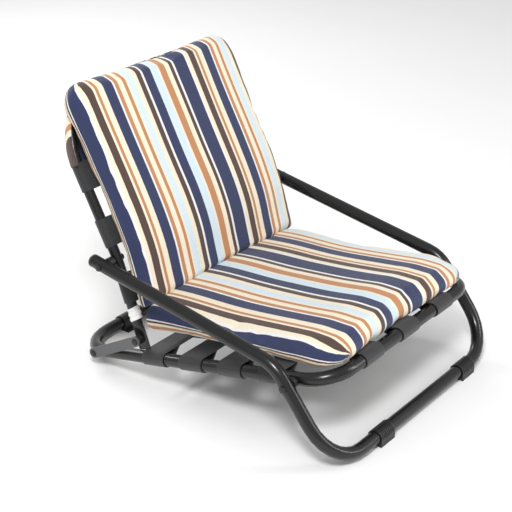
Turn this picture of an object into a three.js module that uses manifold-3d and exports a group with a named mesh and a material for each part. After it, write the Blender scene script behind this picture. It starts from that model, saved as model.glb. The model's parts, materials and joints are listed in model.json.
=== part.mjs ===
// Low folding beach chair: a bent-tube frame with a folding back, woven bands and a padded cushion.
// Millimetres, +Z up. The sitter faces -Y, and X runs across the chair. The chair stands open.
// The origin lies on the floor, under the middle of the chair.

import * as THREE from 'three';
import * as BufferGeometryUtils from 'three/addons/utils/BufferGeometryUtils.js';
import Module from 'manifold-3d';

const wasm = await Module();
wasm.setup();

// ---- Driving dimensions ----------------------------------------------------------------------

// Arm and leg loop
const overallWidth = 500;
const loopTube = 22;
const legLength = 180.5;        // floor bar to the knee where leg and armrest lines cross
const legAngle = 51.9;          // degrees above the floor
const armLength = 355.2;        // knee to the pivot of the back
const armAngle = 9.7;           // degrees above the floor
const armPastPivot = 19;
const floorCornerRadius = 75;
const kneeRadius = 58;

// Seat ring
const seatTube = 22;
const seatTubeToArm = 8;        // clear space between the seat ring and an armrest, seen from above
const legPivotAt = 143.9;       // floor bar to the seat pivot, along the leg
const pivotToRearBar = 490.3;
const pivotToFrontBar = 59.4;
const seatFrontRadius = 55;
const seatBendPastLink = 25;    // how far in front of the link pivot the rear bend begins

// Back frame
const backTube = 18;
const backInset = 4;            // how far the back tubes stand inside the seat tubes' lines
const backLever = 141;          // link pivot to arm pivot
const backBend = 8.6;           // degrees that the upper part leans back more
const backBendRadius = 150;
const backAboveArm = 273;       // arm pivot to the middle of the top bar
const backTopRadius = 110;
const flatThickness = 7;
const flatWidth = 27;
const flatLength = 30;
const flatTaper = 18;

// Links
const linkLength = 114;
const linkWidth = 18;
const linkThickness = 3;
const linkPivotToRearBar = 54.8;

// Fasteners
const boltDiameter = 6;
const boltHeadDiameter = 12;
const boltHeadHeight = 2.4;
const headRimHeight = 1;
const headCrownDiameter = 8.6;
const headCrownHeight = 2;
const innerHeadDiameter = 9.6;
const innerHeadCrown = 8.4;
const spacerDiameter = 16;

// Plastic feet and end plugs
const footSole = 3;
const footWall = 1.8;
const frontFootLength = 38;
const rightFrontFootAt = 131;   // from an armrest's middle; the clips are pushed on by hand, not quite evenly
const leftFrontFootAt = 96;
const frontFootLip = 9;
const rearFootLength = 24;
const rearFootAt = 121;         // from the middle of a seat ring side to the middle of a rear foot
const rearFootLip = 6;
const plugLength = 7;
const plugRim = 2.5;
const plugShoulder = 5.6;
const plugFaceDiameter = 18;

// Woven bands
const bandWidth = 48;
const bandThickness = 1.6;
const bandLoopLength = 34;      // how far a sewn end loop reaches past its tube's middle
const loopSeam = 0.4;           // how far the inside of a loop ends below the strap
const seatBandCount = 4;
const seatBandFirst = 107;      // front bar to the middle of the first cross band
const lastBandToBack = 27.35;   // middle of the last cross band to the end of the back frame
const longBandCount = 3;
const longBandToCorner = 26;    // edge of an outer long band to the bend of the front bar
const rodDiameter = 7;
const rodAt = 388;              // front bar to the cross rod
const backBandCount = 3;
const backBandFirst = -52;      // arm pivot to the middle of the first back band, along the tube
const backBandPitch = 98;

// Cushion
const padSideRoom = 0.5;         // from a side of the cushion to the flattened end of a back tube
const padThickness = 25;
const padCornerRadius = 42;
const seatPadOverhang = 8;      // how far the seat half reaches past the middle of the front bar
const seatPadToBack = 0.35;     // rear of the seat half to the front of the back tubes, at their ends
const backPadLowest = -126;     // arm pivot to the lower edge of the back half, along the tube
const backPadOverTop = 5;       // how far the back half stands above the top bar
const pocketDepth = 118;
const clothThickness = 2;
const tieAt = -97;              // arm pivot to the middle of a tie, along the tube
const tieWidth = 22;
const tieThickness = 1.4;

// Clearances
const gap = 0.3;
const clothGap = 0.4;
const stopGap = 0.4;

// Roundness
const tubeSides = 16;
const smallSides = 12;
const bendStep = THREE.MathUtils.degToRad(13);

// ---- Materials -------------------------------------------------------------------------------

const blackSteel = new THREE.MeshStandardMaterial({ color: 0x26272a, roughness: 0.38, metalness: 0.6 });
const greySteel = new THREE.MeshStandardMaterial({ color: 0x4b4d50, roughness: 0.45, metalness: 0.7 });
const blackPlastic = new THREE.MeshStandardMaterial({ color: 0x17181a, roughness: 0.6, metalness: 0 });
const webbing = new THREE.MeshStandardMaterial({ color: 0x3a3c3f, roughness: 0.9, metalness: 0 });
const stripedCloth = new THREE.MeshStandardMaterial({ color: 0x42507c, roughness: 0.95, metalness: 0 });
const whiteCloth = new THREE.MeshStandardMaterial({ color: 0xf2f2f0, roughness: 0.95, metalness: 0 });

// ---- Points of the side view, as (y, z) --------------------------------------------------------

function polar(from, degrees, distance) {
  const angle = THREE.MathUtils.degToRad(degrees);
  return new THREE.Vector2(from.x + distance * Math.cos(angle), from.y + distance * Math.sin(angle));
}

function direction(from, to) {
  return to.clone().sub(from).normalize();
}

function crossing(a, reachA, b, reachB) {
  // the point at reachA from a and reachB from b, on the left of the line from a to b
  const across = b.clone().sub(a);
  const span = across.length();
  const forward = (reachA ** 2 - reachB ** 2 + span ** 2) / (2 * span);
  const aside = Math.sqrt(reachA ** 2 - forward ** 2);
  const unit = across.divideScalar(span);
  return new THREE.Vector2(
    a.x + unit.x * forward - unit.y * aside,
    a.y + unit.y * forward + unit.x * aside,
  );
}

function leftOf(unit) {
  return new THREE.Vector2(-unit.y, unit.x);
}

const floorBar = new THREE.Vector2(0, loopTube / 2 + footSole);
const knee = polar(floorBar, legAngle, legLength);
const armPivot = polar(knee, armAngle, armLength);
const armEnd = polar(armPivot, armAngle, armPastPivot);
const legPivot = polar(floorBar, legAngle, legPivotAt);

const rearBarHeight = seatTube / 2 + footSole;
const seatRearRadius = linkPivotToRearBar + seatBendPastLink;
const seatSlope = Math.asin((rearBarHeight - legPivot.y) / pivotToRearBar);
const seatAlong = new THREE.Vector2(Math.cos(seatSlope), Math.sin(seatSlope));
const seatUp = leftOf(seatAlong);
const rearBar = legPivot.clone().addScaledVector(seatAlong, pivotToRearBar);
const frontBar = legPivot.clone().addScaledVector(seatAlong, -pivotToFrontBar);
const seatLinkPivot = rearBar.clone().addScaledVector(seatAlong, -linkPivotToRearBar);

const backLinkPivot = crossing(seatLinkPivot, linkLength, armPivot, backLever);

const backAlong = direction(backLinkPivot, armPivot);
const upperAngle = THREE.MathUtils.radToDeg(backAlong.angle()) - backBend;
const backUpper = direction(armPivot, polar(armPivot, upperAngle, 1));
const topBar = armPivot.clone().addScaledVector(backUpper, backAboveArm);

// The lower end of the back frame stops on top of the seat ring.
const pivotAboveSeat = backLinkPivot.clone().sub(frontBar).dot(seatUp);
const endTilt = Math.abs(backAlong.cross(seatUp));
const stopRoom = seatTube / 2 + stopGap + endTilt * flatWidth / 2;
const backEndPastPivot = (pivotAboveSeat - stopRoom) / backAlong.dot(seatUp);
const backEnd = backLinkPivot.clone().addScaledVector(backAlong, -backEndPastPivot);
const backEndAt = backEnd.clone().sub(frontBar).dot(seatAlong);

// ---- Places across the chair -------------------------------------------------------------------

const armX = (overallWidth - loopTube) / 2;
const armInside = armX - loopTube / 2;
const armOutside = armX + loopTube / 2;
const seatX = armInside - seatTubeToArm - seatTube / 2;
const seatOutside = seatX + seatTube / 2;
const seatInside = seatX - seatTube / 2;
const backX = seatX - backInset;
const backInside = backX - backTube / 2;
const flatOutside = backX + flatThickness / 2;
const flatInside = backX - flatThickness / 2;
const linkInside = seatOutside + clothGap;
const linkOutside = linkInside + linkThickness;

// The seat ring has begun to bend inwards where the link is riveted to it, and a washer fills the room.
const washerFrontInBend = seatBendPastLink - boltHeadDiameter / 2;
const bendAway = seatRearRadius - Math.sqrt(seatRearRadius ** 2 - washerFrontInBend ** 2);
const ringAtLink = seatOutside - bendAway;

// The pivot between armrest and back is open: its spacer ends clear of the tube and of the tie round it.
const tieInner = (backTube / 2 + gap) / Math.cos(Math.PI / tubeSides);
const tieOuter = tieInner + tieThickness;
const armSpacerInside = backX + tieOuter + clothGap;

// The feet, bands and cushion keep clear of the bends, the back tubes and each other.
const seatBandPitch = (backEndAt - lastBandToBack - seatBandFirst) / (seatBandCount - 1);
const longBandReach = seatX - seatFrontRadius - longBandToCorner - bandWidth / 2;
const longBandPitch = 2 * longBandReach / (longBandCount - 1);
const seatPadRear = backEndAt - backTube / 2 - seatPadToBack;
const padHalfWidth = flatInside - padSideRoom;

// ---- Bent tubes --------------------------------------------------------------------------------

function at(x, side) {
  return new THREE.Vector3(x, side.x, side.y);
}

class BentPath extends THREE.Curve {
  // straight runs between corners, each corner rounded to its radius
  constructor(corners, radii, firstNormal, closed = false) {
    super();
    this.stations = [];
    this.tangents = [];
    this.firstNormal = firstNormal;
    const count = corners.length;
    for (let i = 0; i < count; i += 1) {
      const isEnd = !closed && (i === 0 || i === count - 1);
      const before = corners[(i + count - 1) % count];
      const after = corners[(i + 1) % count];
      if (isEnd) {
        const unit = i === 0 ? after.clone().sub(corners[i]) : corners[i].clone().sub(before);
        this.addStation(corners[i], unit.normalize());
      } else {
        this.addBend(before, corners[i], after, radii[i]);
      }
    }
    if (closed) {
      this.addStation(this.stations[0], this.tangents[0]);
    }
  }

  addStation(point, tangent) {
    this.stations.push(point.clone());
    this.tangents.push(tangent.clone());
  }

  addBend(before, corner, after, radius) {
    const inward = corner.clone().sub(before).normalize();
    const outward = after.clone().sub(corner).normalize();
    const turn = inward.angleTo(outward);
    const start = corner.clone().addScaledVector(inward, -radius * Math.tan(turn / 2));
    const towardCentre = outward.clone().addScaledVector(inward, -inward.dot(outward)).normalize();
    const centre = start.clone().addScaledVector(towardCentre, radius);
    const steps = Math.max(2, Math.ceil(turn / bendStep));
    for (let step = 0; step <= steps; step += 1) {
      const angle = turn * step / steps;
      const point = centre.clone()
        .addScaledVector(towardCentre, -radius * Math.cos(angle))
        .addScaledVector(inward, radius * Math.sin(angle));
      const tangent = inward.clone().multiplyScalar(Math.cos(angle))
        .addScaledVector(towardCentre, Math.sin(angle));
      this.addStation(point, tangent);
    }
  }

  getSpacedPoints() {
    return this.stations;
  }

  computeFrenetFrames() {
    const normals = [];
    const binormals = [];
    let normal = this.firstNormal.clone();
    for (const tangent of this.tangents) {
      normal = normal.addScaledVector(tangent, -normal.dot(tangent)).normalize().clone();
      normals.push(normal);
      binormals.push(tangent.clone().cross(normal));
    }
    return { tangents: this.tangents, normals, binormals };
  }
}

function roundSection(radius, sides) {
  const points = [];
  for (let i = 0; i < sides; i += 1) {
    const angle = 2 * Math.PI * i / sides;
    points.push(new THREE.Vector2(radius * Math.cos(angle), radius * Math.sin(angle)));
  }
  return new THREE.Shape(points);
}

function bentRod(path, diameter, sides = tubeSides) {
  return new THREE.ExtrudeGeometry(roundSection(diameter / 2, sides), {
    steps: path.stations.length - 1,
    extrudePath: path,
  });
}

function closedRing(geometry) {
  // keeps the wall of a tube that runs back into itself, without the two end faces
  const wall = geometry.groups[1];
  const ring = new THREE.BufferGeometry();
  const position = geometry.getAttribute('position');
  const values = position.array.slice(wall.start * 3, (wall.start + wall.count) * 3);
  ring.setAttribute('position', new THREE.BufferAttribute(values, 3));
  return ring;
}

// ---- Cuts and joins ----------------------------------------------------------------------------

function toSolid(geometry) {
  const bare = geometry.clone();
  bare.deleteAttribute('normal');
  bare.deleteAttribute('uv');
  const merged = BufferGeometryUtils.mergeVertices(bare, 1e-3);
  return new wasm.Manifold(new wasm.Mesh({
    numProp: 3,
    vertProperties: merged.getAttribute('position').array,
    triVerts: Uint32Array.from(merged.index.array),
  }));
}

function toGeometry(solid) {
  const mesh = solid.getMesh();
  const geometry = new THREE.BufferGeometry();
  geometry.setAttribute('position', new THREE.BufferAttribute(mesh.vertProperties, 3));
  geometry.setIndex(new THREE.BufferAttribute(mesh.triVerts, 1));
  geometry.computeVertexNormals();
  return geometry;
}

function pinAcross(side, diameter, fromX, toX) {
  const pin = new THREE.CylinderGeometry(diameter / 2, diameter / 2, toX - fromX, smallSides);
  pin.rotateZ(Math.PI / 2);
  pin.translate((fromX + toX) / 2, side.x, side.y);
  return pin;
}

function drilled(geometry, sidePoints, holeDiameter) {
  // bores each point's hole through the piece from one side of the chair to the other
  let solid = toSolid(geometry);
  for (const side of sidePoints) {
    solid = solid.subtract(toSolid(pinAcross(side, holeDiameter, -overallWidth, overallWidth)));
  }
  return toGeometry(solid);
}

const boltHole = (boltDiameter + 2 * gap) / Math.cos(Math.PI / smallSides);

// ---- The chair's pieces ------------------------------------------------------------------------

const chair = new THREE.Group();

function add(name, geometry, material) {
  const mesh = new THREE.Mesh(geometry, material);
  mesh.name = name;
  chair.add(mesh);
  return mesh;
}

function onBothSides(build) {
  build(-1, 'right');
  build(1, 'left');
}

function addArmLegLoop() {
  const side = (x) => [at(x, armEnd), at(x, knee), at(x, floorBar)];
  const path = new BentPath(
    [...side(-armX), ...side(armX).reverse()],
    [0, kneeRadius, floorCornerRadius, floorCornerRadius, kneeRadius, 0],
    new THREE.Vector3(1, 0, 0),
  );
  add('arm_leg_loop', drilled(bentRod(path, loopTube), [armPivot, legPivot], boltHole), blackSteel);
}

function addSeatRing() {
  const path = new BentPath(
    [at(-seatX, frontBar), at(seatX, frontBar), at(seatX, rearBar), at(-seatX, rearBar)],
    [seatFrontRadius, seatFrontRadius, seatRearRadius, seatRearRadius],
    at(0, seatUp),
    true,
  );
  const ring = closedRing(bentRod(path, seatTube));
  add('seat_ring', drilled(ring, [legPivot, seatLinkPivot], boltHole), blackSteel);
}

function flattenEnds(geometry) {
  // presses the lower ends of the back tubes flat, side to side, and wider front to back
  const position = geometry.getAttribute('position');
  const front = leftOf(backAlong);
  for (let i = 0; i < position.count; i += 1) {
    const side = new THREE.Vector2(position.getY(i), position.getZ(i)).sub(backEnd);
    const height = side.dot(backAlong);
    const share = 1 - THREE.MathUtils.smoothstep(height, flatLength, flatLength + flatTaper);
    const centre = Math.sign(position.getX(i)) * backX;
    const thin = THREE.MathUtils.lerp(1, flatThickness / backTube, share);
    const wide = THREE.MathUtils.lerp(1, flatWidth / backTube, share);
    const across = side.dot(front);
    position.setX(i, centre + (position.getX(i) - centre) * thin);
    position.setY(i, backEnd.x + backAlong.x * height + front.x * across * wide);
    position.setZ(i, backEnd.y + backAlong.y * height + front.y * across * wide);
  }
}

function addBackFrame() {
  const side = (x, height) => at(x, backEnd.clone().addScaledVector(backAlong, height));
  const taperStops = [0, 1, 2, 3].map((third) => flatLength + flatTaper * third / 3);
  const rise = taperStops.map((height) => side(-backX, height));
  const fall = taperStops.map((height) => side(backX, height)).reverse();
  const straight = taperStops.map(() => 1);
  const path = new BentPath(
    [side(-backX, 0), ...rise, at(-backX, armPivot), at(-backX, topBar),
      at(backX, topBar), at(backX, armPivot), ...fall, side(backX, 0)],
    [0, ...straight, backBendRadius, backTopRadius, backTopRadius, backBendRadius, ...straight, 0],
    new THREE.Vector3(1, 0, 0),
  );
  const tube = bentRod(path, backTube);
  flattenEnds(tube);
  add('back_frame', drilled(tube, [backLinkPivot], boltHole), blackSteel);
}

function acrossFrom(along) {
  // turns a piece's x along the given side direction, and its z across the chair
  return new THREE.Matrix4().makeBasis(at(0, along), at(0, leftOf(along)), new THREE.Vector3(1, 0, 0));
}

function linkOutline() {
  const half = linkWidth / 2;
  const outline = new THREE.Shape();
  outline.absarc(0, 0, half, Math.PI / 2, Math.PI * 3 / 2);
  outline.absarc(linkLength, 0, half, -Math.PI / 2, Math.PI / 2);
  for (const centre of [0, linkLength]) {
    const hole = new THREE.Path();
    hole.absarc(centre, 0, boltHole / 2, 0, Math.PI * 2, true);
    outline.holes.push(hole);
  }
  return outline;
}

function addLinks() {
  onBothSides((sign, name) => {
    const plate = new THREE.ExtrudeGeometry(linkOutline(), {
      depth: linkThickness,
      bevelEnabled: false,
      curveSegments: smallSides / 2,
    });
    const along = direction(seatLinkPivot, backLinkPivot);
    const inner = sign > 0 ? linkInside : -linkOutside;
    plate.applyMatrix4(acrossFrom(along));
    plate.translate(inner, seatLinkPivot.x, seatLinkPivot.y);
    add(`link_plate_${name}`, plate, greySteel);
  });
}

// ---- Rivets, spacers and washers ---------------------------------------------------------------

function turned(profile, sides = smallSides) {
  // a turned piece with its axis on +X; the profile is (radius, x)
  const points = profile.map(([radius, x]) => new THREE.Vector2(radius, x));
  const geometry = new THREE.LatheGeometry(points, sides);
  geometry.rotateZ(-Math.PI / 2);
  return geometry;
}

function rivet(outerX, innerX, hasInnerHead) {
  // shank between two faces, a low domed head outside, and a smaller head inside if it has one
  const shank = boltDiameter / 2;
  const head = boltHeadDiameter / 2;
  const innerFace = innerX - gap;
  const innerEnd = innerFace - boltHeadHeight;
  const inner = hasInnerHead
    ? [[0, innerEnd], [innerHeadCrown / 2, innerEnd], [innerHeadDiameter / 2, innerFace], [shank, innerFace]]
    : [[0, innerX], [shank, innerX]];
  const seat = outerX + gap;
  return turned([
    ...inner,
    [shank, seat],
    [head, seat],
    [head, seat + headRimHeight],
    [headCrownDiameter / 2, seat + headCrownHeight],
    [0, seat + boltHeadHeight],
  ]);
}

function collar(outerX, innerX, diameter) {
  const hole = boltHole / 2;
  const outer = diameter / 2;
  return turned([[hole, innerX], [outer, innerX], [outer, outerX], [hole, outerX], [hole, innerX]]);
}

function addTurned(name, geometry, material, side, sign) {
  if (sign < 0) {
    geometry.rotateZ(Math.PI);
  }
  geometry.translate(0, side.x, side.y);
  add(name, geometry, material);
}

function addFasteners() {
  onBothSides((sign, name) => {
    const place = (piece, geometry, material, side) => {
      addTurned(`${piece}_${name}`, geometry, material, side, sign);
    };
    place('arm_rivet', rivet(armOutside, armSpacerInside, false), blackSteel, armPivot);
    place('arm_spacer', collar(armInside - gap, armSpacerInside, spacerDiameter), blackPlastic, armPivot);
    place('back_inner_head', innerHead(backInside - gap), blackSteel, armPivot);
    place('leg_rivet', rivet(armOutside, seatInside, true), blackSteel, legPivot);
    place('leg_spacer', collar(armInside - gap, seatOutside + gap, spacerDiameter), blackPlastic, legPivot);
    place('back_link_rivet', rivet(linkOutside, flatInside, true), blackSteel, backLinkPivot);
    place('back_link_washer', collar(linkInside - gap, flatOutside + gap, spacerDiameter), blackPlastic,
      backLinkPivot);
    place('seat_link_rivet', rivet(linkOutside, seatX, false), blackSteel, seatLinkPivot);
    place('seat_link_washer', collar(linkInside - gap, ringAtLink + gap, boltHeadDiameter), blackPlastic,
      seatLinkPivot);
  });
}

function innerHead(faceX) {
  const endX = faceX - boltHeadHeight;
  return turned([[0, endX], [innerHeadDiameter / 2, endX], [boltHeadDiameter / 2, faceX], [0, faceX]]);
}

function addArmPlugs() {
  const along = direction(knee, armPivot);
  const face = armEnd.clone().addScaledVector(along, gap);
  const radius = loopTube / 2;
  const profile = [
    [0, 0],
    [radius, 0],
    [radius, plugRim],
    [plugFaceDiameter / 2, plugShoulder],
    [0, plugLength],
  ];
  onBothSides((sign, name) => {
    const plug = turned(profile, tubeSides);
    plug.applyMatrix4(acrossFrom(along));
    plug.translate(sign * armX, face.x, face.y);
    add(`arm_end_plug_${name}`, plug, blackPlastic);
  });
}

// ---- Feet --------------------------------------------------------------------------------------

function footOutline(tubeRadius, lip) {
  // section of a clip that wraps a tube lying on the floor, with a thin sole running on past it
  const inner = tubeRadius + gap;
  const outer = inner + footWall;
  const bottom = -(tubeRadius + footSole);
  const lipTop = bottom + footSole;
  const outline = new THREE.Shape();
  outline.moveTo(outer, bottom);
  outline.lineTo(outer + lip, bottom);
  outline.lineTo(outer + lip, lipTop);
  outline.lineTo(outer, lipTop);
  outline.absarc(0, 0, outer, 0, Math.PI, false);
  outline.lineTo(-outer, bottom);
  const hole = new THREE.Path();
  hole.absarc(0, 0, inner / Math.cos(Math.PI / tubeSides), 0, Math.PI * 2, true);
  outline.holes.push(hole);
  return outline;
}

function addFoot(name, side, x, length, tubeRadius, lip, facing) {
  const foot = new THREE.ExtrudeGeometry(footOutline(tubeRadius, lip), {
    depth: length,
    bevelEnabled: false,
    curveSegments: tubeSides / 2,
  });
  const basis = new THREE.Matrix4().makeBasis(
    new THREE.Vector3(0, facing, 0),
    new THREE.Vector3(0, 0, 1),
    new THREE.Vector3(facing, 0, 0),
  );
  foot.translate(0, 0, -length / 2);
  foot.applyMatrix4(basis);
  foot.translate(x, side.x, side.y);
  add(name, foot, blackPlastic);
}

function addFeet() {
  onBothSides((sign, name) => {
    const frontX = sign * (armX - (sign > 0 ? leftFrontFootAt : rightFrontFootAt));
    const rearX = sign * (seatX - rearFootAt);
    addFoot(`front_foot_${name}`, floorBar, frontX, frontFootLength, loopTube / 2, frontFootLip, 1);
    addFoot(`rear_foot_${name}`, rearBar, rearX, rearFootLength, seatTube / 2, rearFootLip, -1);
  });
}

// ---- Woven bands -------------------------------------------------------------------------------

function loopTangent(radius, apex) {
  // angle of the point where a line from the apex touches the underside of the round
  const away = Math.atan2(apex.y, apex.x);
  return away + Math.acos(radius / apex.length());
}

function endLoop(radius, apex) {
  // outline of a sewn loop: down from the top of the round, about its far side, back to the apex
  const points = [];
  const last = loopTangent(radius, apex) - 2 * Math.PI;
  const steps = smallSides;
  for (let i = 0; i <= steps; i += 1) {
    const angle = THREE.MathUtils.lerp(Math.PI / 2, last, i / steps);
    points.push(new THREE.Vector2(radius * Math.cos(angle), radius * Math.sin(angle)));
  }
  points.push(apex.clone());
  return points;
}

function mirrored(points) {
  return points.map((point) => new THREE.Vector2(-point.x, point.y)).reverse();
}

function crossBandSection(tubeRadius, halfSpan) {
  // a strap over two parallel tubes, with a sewn loop about each
  const inner = tubeRadius + gap;
  const outerApex = new THREE.Vector2(-bandLoopLength, inner);
  const innerApex = new THREE.Vector2(-bandLoopLength + 3 * bandThickness, inner - loopSeam);
  const shift = (point) => new THREE.Vector2(point.x + halfSpan, point.y);
  const right = endLoop(inner + bandThickness, outerApex).map(shift);
  const hole = endLoop(inner / Math.cos(Math.PI / tubeSides), innerApex).map(shift);
  return { outline: [...right, ...mirrored(right)], holes: [hole, mirrored(hole)] };
}

function prism(points, depth) {
  const geometry = new THREE.ExtrudeGeometry(new THREE.Shape(points), { depth, bevelEnabled: false });
  geometry.translate(0, 0, -depth / 2);
  return toSolid(geometry);
}

function addBand(name, section, origin, along, up) {
  // the section's x runs along the strap, its y away from the tubes towards the cushion
  let solid = prism(section.outline, bandWidth);
  for (const hole of section.holes) {
    solid = solid.subtract(prism(hole, bandWidth * 2));
  }
  const band = toGeometry(solid);
  const basis = new THREE.Matrix4().makeBasis(along, up, along.clone().cross(up));
  band.applyMatrix4(basis);
  band.translate(origin.x, origin.y, origin.z);
  add(name, band, webbing);
}

function addSeatBands() {
  const section = crossBandSection(seatTube / 2, seatX);
  for (let i = 0; i < seatBandCount; i += 1) {
    const middle = frontBar.clone().addScaledVector(seatAlong, seatBandFirst + i * seatBandPitch);
    addBand(`seat_cross_band_${i + 1}`, section, at(0, middle), new THREE.Vector3(1, 0, 0), at(0, seatUp));
  }
}

function longBandSection() {
  // a strap from the front bar to the cross rod, below the cross bands
  const barInner = seatTube / 2 + gap;
  const rodInner = rodDiameter / 2 + gap;
  const barSeam = barInner - 2 * bandThickness;
  const seamStart = 3 * bandThickness;
  const shift = (point) => new THREE.Vector2(point.x + rodAt, point.y);
  const front = mirrored(endLoop(barInner + bandThickness, new THREE.Vector2(-bandLoopLength, barSeam)));
  const rearSeam = -bandLoopLength / 2;
  const rear = endLoop(rodInner + bandThickness, new THREE.Vector2(rearSeam, rodInner)).map(shift);
  const frontHole = mirrored(endLoop(
    barInner / Math.cos(Math.PI / tubeSides),
    new THREE.Vector2(-bandLoopLength + seamStart, barSeam - loopSeam),
  ));
  const rearHole = endLoop(
    rodInner / Math.cos(Math.PI / smallSides),
    new THREE.Vector2(rearSeam + seamStart, rodInner - loopSeam),
  ).map(shift);
  return { outline: [...front, ...rear], holes: [frontHole, rearHole] };
}

function addLongBands() {
  const section = longBandSection();
  for (let i = 0; i < longBandCount; i += 1) {
    const x = (i - (longBandCount - 1) / 2) * longBandPitch;
    addBand(`seat_long_band_${i + 1}`, section, at(x, frontBar), at(0, seatAlong), at(0, seatUp));
  }
}

function addCrossRod() {
  const middle = frontBar.clone().addScaledVector(seatAlong, rodAt);
  const reach = seatInside - clothGap;
  add('seat_cross_rod', pinAcross(middle, rodDiameter, -reach, reach), blackSteel);
}

function addBackBands() {
  const section = crossBandSection(backTube / 2, backX);
  const across = new THREE.Vector3(1, 0, 0);
  for (let i = 0; i < backBandCount; i += 1) {
    const height = backBandFirst + i * backBandPitch;
    const along = height < 0 ? backAlong : backUpper;
    const middle = armPivot.clone().addScaledVector(along, height);
    addBand(`back_cross_band_${i + 1}`, section, at(0, middle), across, at(0, leftOf(along)));
  }
}

// ---- Cushion -----------------------------------------------------------------------------------

function roundedPlate(halfWidth, from, to, startRadius, endRadius, depth) {
  // a plate with its x across the chair and its y along the tubes
  const points = [];
  const corner = (x, y, radius, start) => {
    const steps = radius > 0 ? smallSides / 2 : 0;
    for (let i = 0; i <= steps; i += 1) {
      const angle = start + (steps > 0 ? Math.PI / 2 * i / steps : 0);
      points.push(new THREE.Vector2(x + radius * Math.cos(angle), y + radius * Math.sin(angle)));
    }
  };
  corner(halfWidth - startRadius, from + startRadius, startRadius, -Math.PI / 2);
  corner(halfWidth - endRadius, to - endRadius, endRadius, 0);
  corner(-halfWidth + endRadius, to - endRadius, endRadius, Math.PI / 2);
  corner(-halfWidth + startRadius, from + startRadius, startRadius, Math.PI);
  return new THREE.ExtrudeGeometry(new THREE.Shape(points), { depth, bevelEnabled: false });
}

const padRestOnSeat = seatTube / 2 + gap + bandThickness + clothGap;
const padRestOnBack = backTube / 2 + gap + bandThickness + clothGap;

function addSeatPad() {
  const pad = roundedPlate(padHalfWidth, -seatPadOverhang, seatPadRear,
    padCornerRadius, 0, padThickness);
  pad.translate(0, 0, padRestOnSeat);
  const across = new THREE.Vector3(1, 0, 0);
  pad.applyMatrix4(new THREE.Matrix4().makeBasis(across, at(0, seatAlong), at(0, seatUp)));
  pad.translate(0, frontBar.x, frontBar.y);
  add('seat_pad', pad, stripedCloth);
}

function bentSlab(near, far, lowest, highest) {
  // side section that follows the back tubes between two distances in front of them
  const middle = leftOf(backAlong).add(leftOf(backUpper)).normalize();
  const level = (height, front) => {
    const along = height < 0 ? backAlong : backUpper;
    return armPivot.clone().addScaledVector(along, height).addScaledVector(leftOf(along), front);
  };
  const bend = (front) => armPivot.clone().addScaledVector(middle, front);
  return [
    level(lowest, near),
    level(lowest, far),
    bend(far),
    level(highest, far),
    level(highest, near),
    bend(near),
  ];
}

function extrudeAcross(points, halfWidth) {
  const slab = new THREE.ExtrudeGeometry(new THREE.Shape(points), {
    depth: 2 * halfWidth,
    bevelEnabled: false,
  });
  slab.applyMatrix4(new THREE.Matrix4().makeBasis(
    new THREE.Vector3(0, 1, 0),
    new THREE.Vector3(0, 0, 1),
    new THREE.Vector3(1, 0, 0),
  ));
  slab.translate(-halfWidth, 0, 0);
  return slab;
}

function backPlate(halfWidth, from, to, radius, near, far) {
  // a plate in the plane of the upper back, with its upper corners rounded
  const plate = roundedPlate(halfWidth, from, to, 0, radius, far - near);
  plate.translate(0, 0, near);
  plate.applyMatrix4(new THREE.Matrix4().makeBasis(
    new THREE.Vector3(1, 0, 0),
    at(0, backUpper),
    at(0, leftOf(backUpper)),
  ));
  plate.translate(0, armPivot.x, armPivot.y);
  return plate;
}

function addBackPad() {
  const half = padHalfWidth;
  const top = backAboveArm + backTube / 2 + backPadOverTop;
  const front = padRestOnBack + padThickness;
  const wallRoom = backTube / 2 + clothGap;
  const innerWidth = backX + wallRoom;
  const innerTop = backAboveArm + wallRoom;
  const outerWidth = innerWidth + clothThickness;
  const outerTop = innerTop + clothThickness;
  const pocketFrom = top - pocketDepth;
  const slab = toSolid(extrudeAcross(bentSlab(padRestOnBack, front, backPadLowest, top), half));
  const trim = toSolid(backPlate(half, -top, top, padCornerRadius, -top, top));
  const shell = toSolid(backPlate(outerWidth, pocketFrom, outerTop, backTopRadius + clothThickness,
    -wallRoom - clothThickness, padRestOnBack + clothThickness));
  const room = toSolid(backPlate(innerWidth, pocketFrom - clothThickness, innerTop, backTopRadius,
    -wallRoom, padRestOnBack));
  const pad = slab.intersect(trim).add(shell.subtract(room));
  add('back_pad', toGeometry(pad), stripedCloth);
}

function addTies() {
  const half = tieWidth / 2;
  const wall = [
    [tieInner, -half],
    [tieOuter, -half],
    [tieOuter, half],
    [tieInner, half],
    [tieInner, -half],
  ];
  onBothSides((sign, name) => {
    const tie = turned(wall, tubeSides);
    tie.applyMatrix4(acrossFrom(backAlong));
    const middle = armPivot.clone().addScaledVector(backAlong, tieAt);
    tie.translate(sign * backX, middle.x, middle.y);
    add(`cushion_tie_${name}`, tie, whiteCloth);
  });
}

addArmLegLoop();
addSeatRing();
addBackFrame();
addLinks();
addFasteners();
addArmPlugs();
addFeet();
addCrossRod();
addSeatBands();
addLongBands();
addBackBands();
addSeatPad();
addBackPad();
addTies();

// The origin stays on the floor, under the middle of the chair's outside.
const outside = new THREE.Box3().setFromObject(chair);
const middleDepth = (outside.min.y + outside.max.y) / 2;
for (const piece of chair.children) {
  piece.position.y -= middleDepth;
}

export default chair;
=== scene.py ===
"""Looks of the low folding beach chair: painted tubes, woven bands and a striped padded cushion."""

import json
import math

import bmesh
import bpy
import numpy as np
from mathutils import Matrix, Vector, noise

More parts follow.
